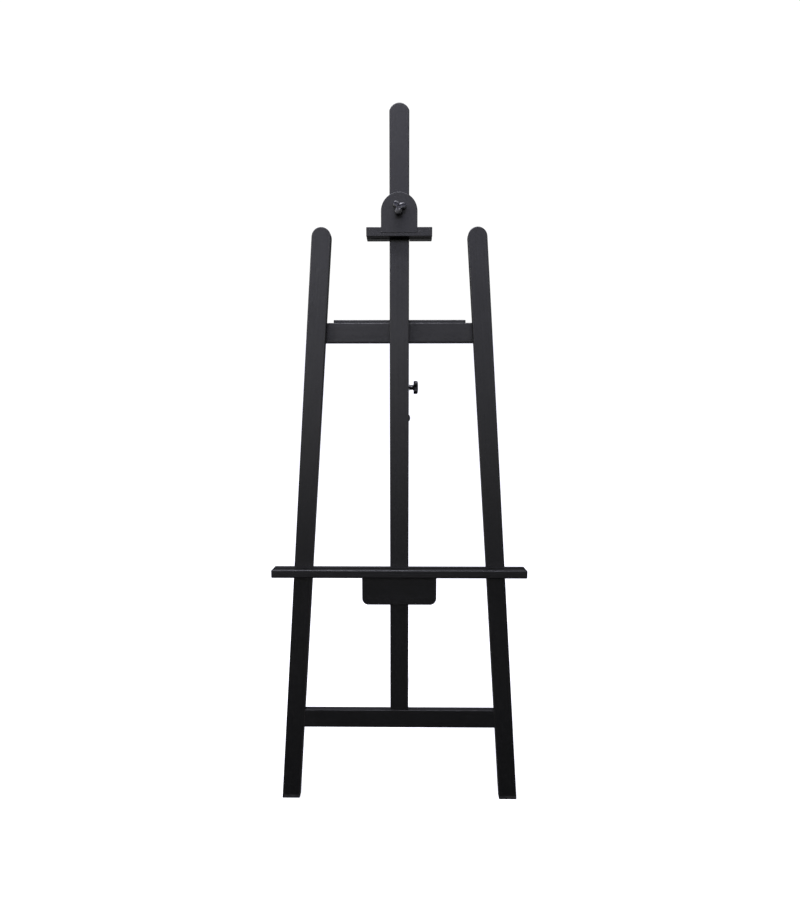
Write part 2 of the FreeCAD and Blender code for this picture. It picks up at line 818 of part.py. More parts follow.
def make_knob(label, bore, bore_depth, place):
    """A three-lobed moulded knob: hub first, head beyond it, the stud's hole up the middle."""
    overlap = 1.0
    body = doc.addObject("PartDesign::Body", label)
    hub = new_sketch(body, "XY_Plane")
    circle(hub, S.hub_radius)
    pad(body, hub, S.hub_length + overlap)
    head = new_sketch(body, "XY_Plane")
    head.AttachmentOffset = at(0, 0, S.hub_length)
    head.setExpression("AttachmentOffset.Base.z", S.hub_length.text)
    circle(head, S.knob_radius)
    pad(body, head, S.knob_thick)
    scallop = new_sketch(body, "XY_Plane")
    scallop.AttachmentOffset = at(0, 0, S.hub_length + S.knob_thick)
    scallop.setExpression("AttachmentOffset.Base.z", (S.hub_length + S.knob_thick).text)
    circle(scallop, S.scallop_radius, S.scallop_centre, 0)
    pocket = body.newObject("PartDesign::Pocket", label + "_scallop")
    pocket.Profile = scallop
    bind(pocket, "Length", S.knob_thick)
    doc.recompute()
    pattern = body.newObject("PartDesign::PolarPattern", label + "_scallops")
    pattern.Originals = [pocket]
    pattern.Axis = (head, ["N_Axis"])
    pattern.Angle = 360
    pattern.Occurrences = 3
    body.Tip = pattern
    doc.recompute()

    def upright(edge):
        span = edge.BoundBox
        return span.ZLength > S.knob_thick.value * 0.9 and span.XLength + span.YLength < 0.1

    ease(body, S.lobe_round, edges_where(body.Tip, upright))

    def rim(edge):
        span = edge.BoundBox
        away = math.hypot(edge.CenterOfMass.x, edge.CenterOfMass.y)
        level = span.ZLength < 0.01 and span.ZMin > S.hub_length.value - 0.1
        return level and away > S.hub_radius.value

    ease(body, S.knob_edge, edges_where(body.Tip, rim))
    hole = new_sketch(body, "XY_Plane")
    circle(hole, bore)
    drill = body.newObject("PartDesign::Pocket", label + "_bore")
    drill.Profile = hole
    drill.Reversed = True
    bind(drill, "Length", bore_depth)
    body.Tip = drill
    body.Placement = place
    return body


def stud_profile(length):
    """A stud whose free end is chamfered and whose other end is buried in its knob."""
    radius = S.stud_radius
    nose = 0.6
    return [(0, 0), (radius - nose, 0), (radius, nose), (radius, length), (0, length)]


def make_tilt_knob():
    """On the tilt stud, outside the right cheek."""
    place = facing(half_mast + WASHER_THICK + S.running_gap * 2, 0, S.stud_reach, X_AXIS)
    depth = 13.0
    radius = 4.0
    finish_node(make_knob("tilt_knob_body", radius, depth, place), "tilt_knob", REAR)
    insert = turned("tilt_insert", tube_profile(S.insert_bore, radius, depth), place)
    finish_node(insert, "tilt_knob_insert", REAR)


# ---------------------------------------------------------------- top clamp

def make_clamp():
    """A grooved bar that wraps the mast, an arched plate let into its face, a plate behind."""
    front = -S.clamp_front
    gap = S.fit_gap
    rear = S.board_thick + gap
    low = S.clamp_low
    width = S.clamp_width
    past = 1.0
    blank = plank("clamp_bar_blank", width, S.clamp_height, rear - front, at(0, front, low), S.bar_round)
    notch = box("mast_notch", S.mast_width + gap * 2, rear + gap + past, S.clamp_height + 2 * past,
                -half_mast - gap, -gap, low - past)
    groove = box("canvas_groove", width + 2 * past, S.clamp_groove_wide, S.clamp_groove_deep + past,
                 -width / 2 - past, -S.clamp_groove_front, low - past)
    housing = box("plate_housing", S.arch_width, S.tongue_thick + past, S.clamp_height + 2 * past,
                  -S.arch_width / 2, front - past, S.tongue_low)
    bar_holes = []
    plate_holes = []
    screws = []
    screw_side = 29.0
    screw_up = 12.0
    for side in sides.values():
        place = (S.clamp_screw_length, screw_side * side, rear + S.closing_thick, low + screw_up, -Y_AXIS)
        for holes in (bar_holes, plate_holes):
            holes.append(screw_hole("clamp_screw_hole", *place))
        screws.append(screw("clamp_screw", *place))
    finish_node(cut("clamp_bar", blank, notch, groove, housing, *bar_holes), "clamp_bar", LEAN)
    finish_node(group("clamp_screws", *screws), "clamp_screws", LEAN)

    closing = plank("clamp_rear_blank", S.clamp_rear_width, S.clamp_rear_height, S.closing_thick,
                    at(0, rear, S.clamp_rear_low))
    finish_node(cut("clamp_rear_plate", closing, *plate_holes), "clamp_rear_plate", LEAN)

    half = S.arch_width / 2
    rise = S.arch_middle - S.tongue_low
    corners = [(-half, 0), (half, 0), (half, rise), (-half, rise)]
    arch = board("arch_blank", corners, S.clamp_front - gap, at(0, front, S.tongue_low), {2: (0, rise + half)},
                 rounding=S.fine_round)
    step_height = low + S.clamp_height - S.tongue_low + past
    step = box("tongue_step", S.arch_width + 2 * past, S.clamp_front, step_height,
               -half - past, front + S.tongue_thick, S.tongue_low - past)
    insert_length = 15.0
    clearance = 0.5
    spot = (0, front, S.clamp_knob_up)
    seat = rod("insert_seat", S.insert_radius, insert_length, *spot, Y_AXIS)
    through = rod("stud_clearance", S.stud_radius + clearance, S.clamp_front, *spot, Y_AXIS)
    finish_node(cut("clamp_front_plate", arch, step, seat, through), "clamp_front_plate", LEAN)
    insert_profile = tube_profile(S.insert_bore, S.insert_radius, insert_length)
    finish_node(turned("clamp_insert", insert_profile, facing(*spot, Y_AXIS)), "clamp_threaded_insert", LEAN)

    knob_turn = -37.0
    hub_start = S.clamp_front + S.running_gap
    place = facing(0, -hub_start, S.clamp_knob_up, -Y_AXIS) * at(0, 0, 0, Z_AXIS, knob_turn)
    finish_node(make_knob("clamp_knob_body", S.stud_radius, S.stud_grip, place), "clamp_knob", LEAN)
    tip = S.running_gap
    stud = turned(
        "clamp_stud", stud_profile(hub_start - tip + S.stud_grip), facing(0, -tip, S.clamp_knob_up, -Y_AXIS)
    )
    finish_node(stud, "clamp_knob_stud", LEAN)


# ---------------------------------------------------------------- tray

def make_tray():
    """A grooved ledge on an apron, with two guide blocks and a plate that close round the mast."""
    gap = S.fit_gap
    past = 1.0
    ledge_low = S.ledge_top - S.ledge_thick
    length = S.ledge_length
    ledge = plank("ledge_blank", length, S.ledge_thick, S.ledge_depth, at(0, -S.ledge_depth - gap, ledge_low),
                  S.ledge_round)
    groove = box("ledge_groove", length + 2 * past, S.ledge_groove_wide, S.ledge_groove_deep + past,
                 -length / 2 - past, -S.ledge_groove_front, S.ledge_top - S.ledge_groove_deep)
    half = S.apron_width / 2
    height = ledge_low - S.apron_low
    corner = S.apron_corner
    inset = corner * (1 - math.sqrt(0.5))
    corners = [
        (-half + corner, 0), (half - corner, 0), (half, corner),
        (half, height), (-half, height), (-half, corner),
    ]
    apron = board("apron_blank", corners, S.apron_thick, at(0, -S.apron_thick - gap, S.apron_low),
                  {1: (half - inset, inset), 5: (-half + inset, inset)}, rounding=S.bar_round)
    ledge_tools = [groove]
    apron_tools = []
    pegs = []
    dowel_spread = 62.0
    dowel_back = 8.0
    in_apron = 11.0
    for x in (-dowel_spread, 0, dowel_spread):
        place = (S.small_dowel, S.ledge_dowel_length, x, -dowel_back, ledge_low - in_apron, Z_AXIS)
        for tools in (ledge_tools, apron_tools):
            tools.append(dowel_hole("ledge_dowel_hole", *place))
        pegs.append(dowel("ledge_dowel", *place))

    rear = S.board_thick + gap
    guide_inner = half_mast + gap
    plate_tools = []
    screws = []
    from_end = 12.0
    for name, side in sides.items():
        middle = (guide_inner + S.guide_width / 2) * side
        guide = plank(f"guide_{name}_blank", S.guide_width, S.guide_height, rear + gap,
                      at(middle, -gap, S.guide_low), S.fine_round)
        guide_tools = []
        for z in (S.guide_low + from_end, S.guide_low + S.guide_height - from_end):
            place = (S.tray_screw_length, middle, rear + S.closing_thick, z, -Y_AXIS)
            for tools in (guide_tools, plate_tools, apron_tools):
                tools.append(screw_hole("guide_screw_hole", *place))
            screws.append(screw("guide_screw", *place))
        finish_node(cut(f"tray_guide_{name}", guide, *guide_tools), f"tray_guide_{name}", LEAN)
    finish_node(cut("tray_ledge", ledge, *ledge_tools), "tray_ledge", LEAN)
    finish_node(cut("tray_apron", apron, *apron_tools), "tray_apron", LEAN)
    finish_node(group("ledge_dowels", *pegs), "ledge_dowels", LEAN)
    finish_node(group("tray_screws", *screws), "tray_screws", LEAN)

    knob_up = S.guide_low + S.guide_height / 2
    outer = (guide_inner + S.guide_width) * 2
    plate = plank("tray_rear_blank", outer, S.guide_height, S.closing_thick, at(0, rear, S.guide_low))
    spot = (0, rear, knob_up)
    seat = rod("tray_insert_seat", S.insert_radius, S.closing_thick, *spot, Y_AXIS)
    finish_node(cut("tray_rear_plate", plate, seat, *plate_tools), "tray_rear_plate", LEAN)
    insert_profile = tube_profile(S.insert_bore, S.insert_radius, S.closing_thick)
    finish_node(turned("tray_insert", insert_profile, facing(*spot, Y_AXIS)), "tray_threaded_insert", LEAN)

    hub_start = rear + S.closing_thick + S.running_gap
    place = facing(0, hub_start, knob_up, Y_AXIS)
    finish_node(make_knob("tray_knob_body", S.stud_radius, S.stud_grip, place), "tray_knob", LEAN)
    tip = S.board_thick + S.running_gap
    stud = turned("tray_stud", stud_profile(hub_start - tip + S.stud_grip), facing(0, tip, knob_up, Y_AXIS))
    finish_node(stud, "tray_knob_stud", LEAN)


# ---------------------------------------------------------------- build, check, write

make_mast()
make_front_legs()
make_lower_rail()
make_upper_rail()
make_fork()
make_pivot()
make_rear_leg()
make_tilt_knob()
make_clamp()
make_tray()
doc.recompute()

# The origin is on the floor under the middle of the easel's box
whole = FreeCAD.BoundBox()
for piece in nodes.values():
    whole.add(piece.Shape.BoundBox)
shift = FreeCAD.Placement(FreeCAD.Vector(0, -whole.Center.y, 0), FreeCAD.Rotation())
for piece in nodes.values():
    piece.Placement = shift * piece.Placement
doc.recompute()

for thing in doc.Objects:
    if {"Invalid", "Error"} & set(thing.State):
        raise RuntimeError(f"{thing.Label}: {thing.State}")
for name, piece in nodes.items():
    if piece.Shape.isNull() or not piece.Shape.isValid() or not piece.Shape.Solids:
        raise RuntimeError(f"{name} has no valid solid")

os.makedirs("parts", exist_ok=True)
for name, piece in nodes.items():
    piece.Shape.exportStep(f"parts/{name}.step")

print(f"{len(nodes)} nodes, {whole.XLength:.1f} wide, {whole.YLength:.1f} deep, {whole.ZMax:.1f} high")
knob_middle = DIMENSIONS["guide_low"] + DIMENSIONS["guide_height"] / 2
for label, spot in {
    "pivot": LEAN.multVec(FreeCAD.Vector(0, DIMENSIONS["pivot_back"], DIMENSIONS["pivot_up"])),
    "tilt stud": REAR.multVec(FreeCAD.Vector(0, 0, DIMENSIONS["stud_reach"])),
    "clamp knob": LEAN.multVec(FreeCAD.Vector(0, 0, DIMENSIONS["clamp_knob_up"])),
    "tray knob": LEAN.multVec(FreeCAD.Vector(0, 0, knob_middle)),
}.items():
    moved = shift.multVec(spot)
    print(f"{label}: {moved.x:.4f} {moved.y:.4f} {moved.z:.4f}")
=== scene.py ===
"""Looks for the studio display easel: its finishes, its moulded knobs, the studio and the camera.

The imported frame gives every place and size. Lengths are in metres, in the frame's own axes:
x to the right, y to the rear, z up, with the floor at z = 0.
"""

import json
import math

import bpy
from mathutils import Matrix, Vector


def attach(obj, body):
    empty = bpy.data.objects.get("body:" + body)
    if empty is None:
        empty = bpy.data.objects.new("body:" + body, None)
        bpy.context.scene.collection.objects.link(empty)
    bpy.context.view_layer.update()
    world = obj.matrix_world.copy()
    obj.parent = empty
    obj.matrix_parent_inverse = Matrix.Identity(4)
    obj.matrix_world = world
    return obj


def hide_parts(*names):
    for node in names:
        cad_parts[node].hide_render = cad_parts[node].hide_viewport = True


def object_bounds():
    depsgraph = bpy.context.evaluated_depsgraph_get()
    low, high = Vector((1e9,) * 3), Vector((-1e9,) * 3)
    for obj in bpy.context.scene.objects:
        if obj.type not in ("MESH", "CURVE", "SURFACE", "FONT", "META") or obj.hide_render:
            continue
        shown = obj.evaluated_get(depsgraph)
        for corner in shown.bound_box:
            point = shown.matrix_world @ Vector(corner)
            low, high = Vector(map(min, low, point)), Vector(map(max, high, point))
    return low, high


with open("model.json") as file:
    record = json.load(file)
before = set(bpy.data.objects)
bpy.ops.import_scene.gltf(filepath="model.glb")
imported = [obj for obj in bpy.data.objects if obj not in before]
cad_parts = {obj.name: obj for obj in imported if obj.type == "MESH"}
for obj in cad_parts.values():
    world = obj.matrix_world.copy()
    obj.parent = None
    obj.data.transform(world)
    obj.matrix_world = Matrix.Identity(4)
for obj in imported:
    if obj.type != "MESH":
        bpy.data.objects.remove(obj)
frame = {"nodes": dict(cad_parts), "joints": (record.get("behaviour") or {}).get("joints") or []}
cad_low, cad_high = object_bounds()
NODES = frame["nodes"]
JOINTS = {joint["name"]: joint for joint in frame["joints"]}

X_AXIS = Vector((1, 0, 0))
MAST_UP = Vector(JOINTS["clamp_slide"]["axis"]).normalized()
PLANE_REAR = MAST_UP.cross(X_AXIS)

WHITE = (1.0, 1.0, 1.0)
NOISE_SPAN = (0.3, 0.7)
EDGE_SAMPLES = 6
EDGE_SPAN = (0.004, 0.09)
SEED_STEP = (1.7, 0.31, 0.47)
NEARLY_ALONG = 0.9


# ---------------------------------------------------------------- shader building

class Nodes:
    """Short calls that add nodes to a tree and link them."""

    def __init__(self, tree):
        self.tree = tree

    def add(self, kind, links=None, values=None, **settings):
        """A node with its settings, its unlinked values and its incoming links."""
        node = self.tree.nodes.new("ShaderNode" + kind)
        for key, value in settings.items():
            setattr(node, key, value)
        for socket, value in (values or {}).items():
            node.inputs[socket].default_value = value
        for socket, source in (links or {}).items():
            self.tree.links.new(source, node.inputs[socket])
        return node

    def math(self, operation, first, second=None):
        node = self.add("Math", operation=operation)
        for index, source in enumerate((first, second)):
            if isinstance(source, bpy.types.NodeSocket):
                self.tree.links.new(source, node.inputs[index])
            elif source is not None:
                node.inputs[index].default_value = source
        return node.outputs[0]

    def remap(self, value, low, high, to_low=0.0, to_high=1.0):
        """A value's span stretched onto another span, and held inside it."""
        values = {"From Min": low, "From Max": high, "To Min": to_low, "To Max": to_high}
        node = self.add("MapRange", {"Value": value}, values, interpolation_type="SMOOTHSTEP")
        return node.outputs["Result"]

    def blend(self, factor, first, second):
        """One colour into another; either may be a colour or a socket."""
        node = self.add("Mix", {0: factor}, data_type="RGBA")
        for index, source in ((6, first), (7, second)):
            if isinstance(source, bpy.types.NodeSocket):
                self.tree.links.new(source, node.inputs[index])
            else:
                node.inputs[index].default_value = (*source, 1.0)
        return node.outputs[2]

    def scaled(self, value, share):
        return self.math("MULTIPLY", value, share)

    def tones(self, value, pair, span=NOISE_SPAN):
        """The first colour of a pair into the second, over a value's span."""
        return self.blend(self.remap(value, *span), *pair)


class Shader(Nodes):
    """A material: a Principled shader and the nodes that feed it."""

    def __init__(self, name, **uniform):
        self.material = bpy.data.materials.new(name)
        self.material.use_nodes = True
        super().__init__(self.material.node_tree)
        self.surface = self.tree.nodes["Principled BSDF"]
        for socket, value in uniform.items():
            self.surface.inputs[socket.replace("_", " ")].default_value = value

    def stretched(self, place, along, across, offset=(0, 0, 0)):
        """Coordinates squeezed by one factor along the grain and another across it."""
        values = {"Scale": (along, across, across), "Location": offset}
        return self.add("Mapping", {"Vector": place}, values).outputs[0]

    def noise(self, place, scale=1.0, detail=2.0, roughness=0.5, distortion=0.0):
        values = {
            "Scale": scale, "Detail": detail, "Roughness": roughness, "Distortion": distortion,
        }
        return self.add("TexNoise", {"Vector": place}, values).outputs["Fac"]

    def bump(self, height, depth, below=None):
        """Relief of a depth in metres, on top of the relief below it."""
        links = {"Height": height}
        if below is not None:
            links["Normal"] = below
        return self.add("Bump", links, {"Distance": depth, "Strength": 1.0}).outputs[0]

    def edges(self, radius):
        """Near 1 on a piece's sharp or rounded edges, 0 on its flats."""
        rounded = self.add("Bevel", values={"Radius": radius}, samples=EDGE_SAMPLES).outputs[0]
        flat = self.add("NewGeometry").outputs["Normal"]
        facing = self.add("VectorMath", {0: rounded, 1: flat}, operation="DOT_PRODUCT")
        return self.remap(self.math("SUBTRACT", 1.0, facing.outputs["Value"]), *EDGE_SPAN)

    def feed(self, **sources):
        for socket, source in sources.items():
            self.tree.links.new(source, self.surface.inputs[socket.replace("_", " ")])


def object_place(shader):
    return shader.add("TexCoord").outputs["Object"]


def along_grain(shader, grain, seed):
    """Coordinates with x along the grain, moved on by a seed so that no two boards match."""
    other = X_AXIS if abs(grain.dot(PLANE_REAR)) >= NEARLY_ALONG else PLANE_REAR
    across = grain.cross(other).normalized()
    turn = Matrix((grain, across, grain.cross(across))).to_euler()
    values = {"Rotation": turn, "Location": [seed * step for step in SEED_STEP]}
    return shader.add("Mapping", {"Vector": object_place(shader)}, values).outputs[0]


# ---------------------------------------------------------------- finishes

PAINT_TONES = ((0.0040, 0.0039, 0.0037), (0.0076, 0.0074, 0.0070))
PAINT_PORES = (0.0022, 0.0021, 0.0020)
PAINT_WORN = (0.042, 0.036, 0.031)
PAINT_WEAR = 0.0016
PAINT_RING_COUNT = 9.0
PAINT_ROUGHNESS = (0.41, 0.32)
DOWEL_TONES = ((0.47, 0.32, 0.19), (0.62, 0.46, 0.30))
DOWEL_PORES = (0.28, 0.17, 0.09)
DOWEL_ROUGHNESS = (0.58, 0.72)
PLASTIC_TONES = ((0.0075, 0.0075, 0.0085), (0.013, 0.013, 0.0145))
PLASTIC_DUST = (0.06, 0.06, 0.06)
PLASTIC_ROUGHNESS = (0.16, 0.24)
ZINC_TONES = ((0.50, 0.50, 0.49), (0.66, 0.66, 0.65))
ZINC_ROUGHNESS = (0.26, 0.42)
BRASS_TONES = ((0.66, 0.46, 0.19), (0.78, 0.58, 0.28))
BRASS_ROUGHNESS = (0.24, 0.38)
STEEL_TONES = ((0.022, 0.022, 0.024), (0.042, 0.041, 0.043))
STEEL_RUBBED = (0.22, 0.21, 0.20)
STEEL_WEAR = 0.0008
STEEL_ROUGHNESS = (0.36, 0.48)
NYLON_TONES = ((0.70, 0.68, 0.62), (0.80, 0.79, 0.74))
NYLON_ROUGHNESS = (0.38, 0.5)
RUBBER_TONES = ((0.012, 0.012, 0.012), (0.034, 0.033, 0.031))
RUBBER_ROUGHNESS = (0.74, 0.9)


def painted_wood(name, grain, seed):
    """Satin black paint brushed along the grain: the timber's figure and pores show through it."""
    paint = Shader(name, IOR=1.5)
    place = along_grain(paint, grain, seed)
    figure = paint.noise(paint.stretched(place, along=1.1, across=30), detail=3, distortion=0.6)
    rings = paint.math("FRACT", paint.scaled(figure, PAINT_RING_COUNT))
    ring_lines = paint.remap(rings, 0.55, 1.0)
    fibres = paint.stretched(place, along=28, across=1300, offset=(3, 1, 2))
    fibres = paint.noise(fibres, detail=3, roughness=0.62)
    pores = paint.noise(paint.stretched(place, along=95, across=2600, offset=(7, 4, 5)), detail=1)
    pores = paint.remap(pores, 0.30, 0.37, 1, 0)
    brush = paint.stretched(place, along=4.5, across=420, offset=(1, 8, 6))
    brush = paint.noise(brush, detail=2, roughness=0.55)
    peel = paint.noise(place, scale=620, detail=1)
    cloud = paint.noise(place, scale=7.5, detail=3, roughness=0.6)
    rubs = paint.remap(paint.noise(place, scale=46, detail=4), 0.46, 0.66)
    worn = paint.math("MULTIPLY", paint.edges(PAINT_WEAR), rubs)

    tone = paint.math("ADD", paint.scaled(cloud, 0.55), paint.scaled(brush, 0.45))
    colour = paint.tones(tone, PAINT_TONES, (0.36, 0.64))
    colour = paint.blend(paint.scaled(pores, 0.55), colour, PAINT_PORES)
    colour = paint.blend(paint.scaled(worn, 0.5), colour, PAINT_WORN)
    rough = paint.remap(tone, 0.34, 0.66, *PAINT_ROUGHNESS)
    rough = paint.math("SUBTRACT", rough, paint.scaled(worn, 0.1))
    rough = paint.math("ADD", rough, paint.scaled(pores, 0.2))

    relief = None
    raised = paint.math("SUBTRACT", 1.0, pores)
    for height, depth in (
        (ring_lines, 0.00003), (fibres, 0.00009), (brush, 0.00006), (peel, 0.00003),
        (raised, 0.00008),
    ):
        relief = paint.bump(height, depth, relief)
    paint.feed(Base_Color=colour, Roughness=rough, Normal=relief)
    return paint.material


def bare_wood(name, grain, seed):
    """Pale hardwood dowel, cut clean, with fine pores along it."""
    wood = Shader(name, IOR=1.5)
    place = along_grain(wood, grain, seed)
    figure = wood.noise(wood.stretched(place, along=6, across=210), detail=4, roughness=0.6)
    pores = wood.noise(wood.stretched(place, along=120, across=3600, offset=(2, 5, 3)), detail=1)
    pores = wood.remap(pores, 0.32, 0.4, 1, 0)
    colour = wood.tones(figure, DOWEL_TONES)
    colour = wood.blend(wood.scaled(pores, 0.5), colour, DOWEL_PORES)
    relief = wood.bump(figure, 0.00008)
    rough = wood.remap(figure, *NOISE_SPAN, *DOWEL_ROUGHNESS)
    wood.feed(Base_Color=colour, Roughness=rough, Normal=relief)
    return wood.material


def moulded_plastic(name):
    """Glossy black moulding: faint flow marks, a soft waviness and a few hairline scratches."""
    plastic = Shader(name, IOR=1.5, Specular_IOR_Level=0.62)
    place = object_place(plastic)
    flow = plastic.noise(place, scale=85, detail=2, distortion=1.4)
    wave = plastic.noise(place, scale=140, detail=1)
    scratches = plastic.stretched(place, along=60, across=2400, offset=(4, 2, 9))
    scratches = plastic.remap(plastic.noise(scratches, detail=1), 0.70, 0.74)
    dust = plastic.remap(plastic.noise(place, scale=900, detail=3), 0.60, 0.74)
    colour = plastic.tones(flow, PLASTIC_TONES)
    colour = plastic.blend(plastic.scaled(dust, 0.18), colour, PLASTIC_DUST)
    rough = plastic.remap(flow, *NOISE_SPAN, *PLASTIC_ROUGHNESS)
    rough = plastic.math("ADD", rough, plastic.scaled(scratches, 0.2))
    relief = plastic.bump(wave, 0.00004)
    relief = plastic.bump(scratches, 0.000006, relief)
    plastic.feed(Base_Color=colour, Roughness=rough, Normal=relief)
    return plastic.material


def plated_metal(name, tones, roughness):
    """Turned and plated metal: lathe lines are too fine to see, so they become a mottled sheen."""
    plate = Shader(name, Metallic=1.0)
    place = object_place(plate)
    mottle = plate.noise(place, scale=260, detail=4, roughness=0.65)
    fine = plate.noise(place, scale=1400, detail=2)
    colour = plate.tones(mottle, tones, (0.32, 0.68))
    rough = plate.remap(mottle, *NOISE_SPAN, *roughness)
    plate.feed(Base_Color=colour, Roughness=rough, Normal=plate.bump(fine, 0.00002))
    return plate.material


def black_steel(name):
    """Blackened steel, rubbed back to grey along its edges."""
    steel = Shader(name, Metallic=1.0)
    place = object_place(steel)
    mottle = steel.noise(place, scale=320, detail=4, roughness=0.6)
    rubbed = steel.math("MULTIPLY", steel.edges(STEEL_WEAR), steel.remap(mottle, 0.42, 0.6))
    colour = steel.blend(steel.scaled(rubbed, 0.6), steel.tones(mottle, STEEL_TONES), STEEL_RUBBED)
    relief = steel.bump(steel.noise(place, scale=1700, detail=2), 0.00002)
    rough = steel.remap(mottle, *NOISE_SPAN, *STEEL_ROUGHNESS)
    steel.feed(Base_Color=colour, Roughness=rough, Normal=relief)
    return steel.material


def nylon(name):
    """Natural nylon, slightly waxy and milky."""
    plastic = Shader(name, IOR=1.53, Subsurface_Weight=0.15, Subsurface_Scale=0.002)
    place = object_place(plastic)
    cloud = plastic.noise(place, scale=210, detail=3)
    relief = plastic.bump(plastic.noise(place, scale=1500, detail=2), 0.00002)
    rough = plastic.remap(cloud, *NOISE_SPAN, *NYLON_ROUGHNESS)
    plastic.feed(Base_Color=plastic.tones(cloud, NYLON_TONES), Roughness=rough, Normal=relief)
    return plastic.material


def rubber(name):
    """Moulded black rubber with a dusty bloom and fine speckle."""
    soft = Shader(name, IOR=1.5, Specular_IOR_Level=0.35)
    place = object_place(soft)
    speckle = soft.noise(place, scale=1500, detail=2, roughness=0.6)
    bloom = soft.noise(place, scale=60, detail=4, roughness=0.6)
    colour = soft.tones(bloom, RUBBER_TONES, (0.35, 0.7))
    rough = soft.remap(bloom, *NOISE_SPAN, *RUBBER_ROUGHNESS)
    soft.feed(Base_Color=colour, Roughness=rough, Normal=soft.bump(speckle, 0.00012))
    return soft.material


def long_axis(node):
    """The direction in which a CAD node is longest, between two of its far points."""
    points = [vertex.co for vertex in NODES[node].data.vertices]
    far = max(points, key=lambda point: (point - points[0]).length)
    other = max(points, key=lambda point: (point - far).length)
    return (far - other).normalized()


def set_material(node, material):
    """One material in all of a CAD node's slots, or in a new slot where it has none."""
    slots = NODES[node].material_slots
    if not slots:
        NODES[node].data.materials.append(material)
    for slot in slots:
        slot.material = material


UPRIGHT_PIECES = ["mast", "fork_cheek_left", "fork_cheek_right", "fork_spacer", "clamp_front_plate"]
LEVEL_PIECES = [
    "upper_rail", "lower_rail", "rail_backing_plate", "clamp_bar", "clamp_rear_plate",
    "tray_ledge", "tray_apron", "tray_rear_plate", "tray_guide_left", "tray_guide_right",
]
SLOPING_PIECES = ["front_leg_left", "front_leg_right", "rear_leg"]
DOWELS = {
    "lower_rail_dowels": X_AXIS, "mast_foot_dowels": MAST_UP, "fork_dowels": PLANE_REAR,
    "ledge_dowels": MAST_UP,
}
ZINC_PIECES = [
    "rail_to_leg_screws", "backing_plate_screws", "rail_to_mast_screws", "fork_screws",
    "pivot_sleeve_nut", "tilt_stud", "pivot_bush",
    "clamp_screws", "clamp_knob_stud", "tray_screws", "tray_knob_stud",
]
BRASS_PIECES = ["tilt_knob_insert", "clamp_threaded_insert", "tray_threaded_insert"]
BLACKENED_PIECES = ["pivot_bolt", "tilt_washer"]
NYLON_PIECES = ["pivot_spacers"]
RUBBER_PIECES = ["front_foot_pad_left", "front_foot_pad_right", "rear_foot_pad"]


def finish_pieces():
    """A material for each listed CAD node; each board and dowel gets its own piece of grain."""
    seed = 0
    for group, grain_of in (
        (UPRIGHT_PIECES, lambda node: MAST_UP),
        (LEVEL_PIECES, lambda node: X_AXIS),
        (SLOPING_PIECES, long_axis),
    ):
        for node in group:
            seed += 1
            set_material(node, painted_wood("paint_" + node, grain_of(node), seed))
    for node, grain in DOWELS.items():
        seed += 1
        set_material(node, bare_wood("timber_" + node, grain, seed))
    for group, material in (
        (ZINC_PIECES, plated_metal("zinc_plate", ZINC_TONES, ZINC_ROUGHNESS)),
        (BRASS_PIECES, plated_metal("brass_turned", BRASS_TONES, BRASS_ROUGHNESS)),
        (BLACKENED_PIECES, black_steel("black_steel")),
        (NYLON_PIECES, nylon("nylon_moulded")),
        (RUBBER_PIECES, rubber("rubber_moulded")),
    ):
        for node in group:
            set_material(node, material)


# ---------------------------------------------------------------- knobs

LOBES = 3
AROUND = 144
NARROWEST = 0.0093
LOBE_BREADTH = 0.85
HUB_FOOT = ((0.0, -0.0007), (0.0005, -0.0001))
HUB_TAPER = 0.0002
HUB_TAPER_PARTS = (0.2, 0.45, 0.65, 0.78)
HUB_NECK = ((-0.0009, 0.0002), (-0.0002, 0.0011))
HUB_FOOT_BAND = 0.001
HEAD_OVERHANG = 0.002
HEAD_INNER = 0.0060
HEAD_INSET = 0.0002
LOWER_ROUND = 0.0018
UPPER_ROUND = 0.0030
ROUND_STEPS = 8
SEAM_AT = 0.34
SEAM = ((-0.0003, 0.0001), (0.0, -0.00002), (0.0003, 0.0001))
CROWN = 0.0008
CROWN_PARTS = (0.82, 0.64, 0.46, 0.30, 0.15)
DISH = 0.0042
DISH_DEEP = 0.0009
DISH_ROWS = (
    (DISH, 0), (DISH - 0.0003, 0.0001), (DISH - 0.0008, DISH_DEEP), (DISH - 0.0012, DISH_DEEP),
    (DISH / 2, DISH_DEEP * 0.8), (DISH / 4, DISH_DEEP * 0.75),
)


def lobed(angle, outer):
    """Radius of a rounded three-lobed outline: broad lobes and shallow scallops between them."""
    wave = 0.5 + 0.5 * math.cos(LOBES * angle)
    return NARROWEST + (outer - NARROWEST) * wave ** LOBE_BREADTH


def hub_rows(hub, length):
    """Heights and radii up the hub, from a chamfered foot to a small flare under the head."""
    foot = [(height, hub + step) for height, step in HUB_FOOT]
    taper = [(length * part, hub - HUB_TAPER * part) for part in HUB_TAPER_PARTS]
    neck = [(length + height, hub + step) for height, step in HUB_NECK]
    return foot + taper + neck


def head_rows(low, high):
    """Heights up the head, and how far in from the lobed outline each lies."""
    turns = [math.pi / 2 * step / ROUND_STEPS for step in range(ROUND_STEPS + 1)]
    rows = [(low, HEAD_INNER)]
    for turn in turns[::2]:
        height = low + LOWER_ROUND * (1 - math.cos(turn))
        rows.append((height, HEAD_INSET + LOWER_ROUND * (1 - math.sin(turn))))
    seam = low + (high - low) * SEAM_AT
    rows += [(seam + height, inset) for height, inset in SEAM]
    for turn in turns:
        height = high - CROWN - UPPER_ROUND * (1 - math.sin(turn))
        rows.append((height, HEAD_INSET + UPPER_ROUND * (1 - math.cos(turn))))
    return rows


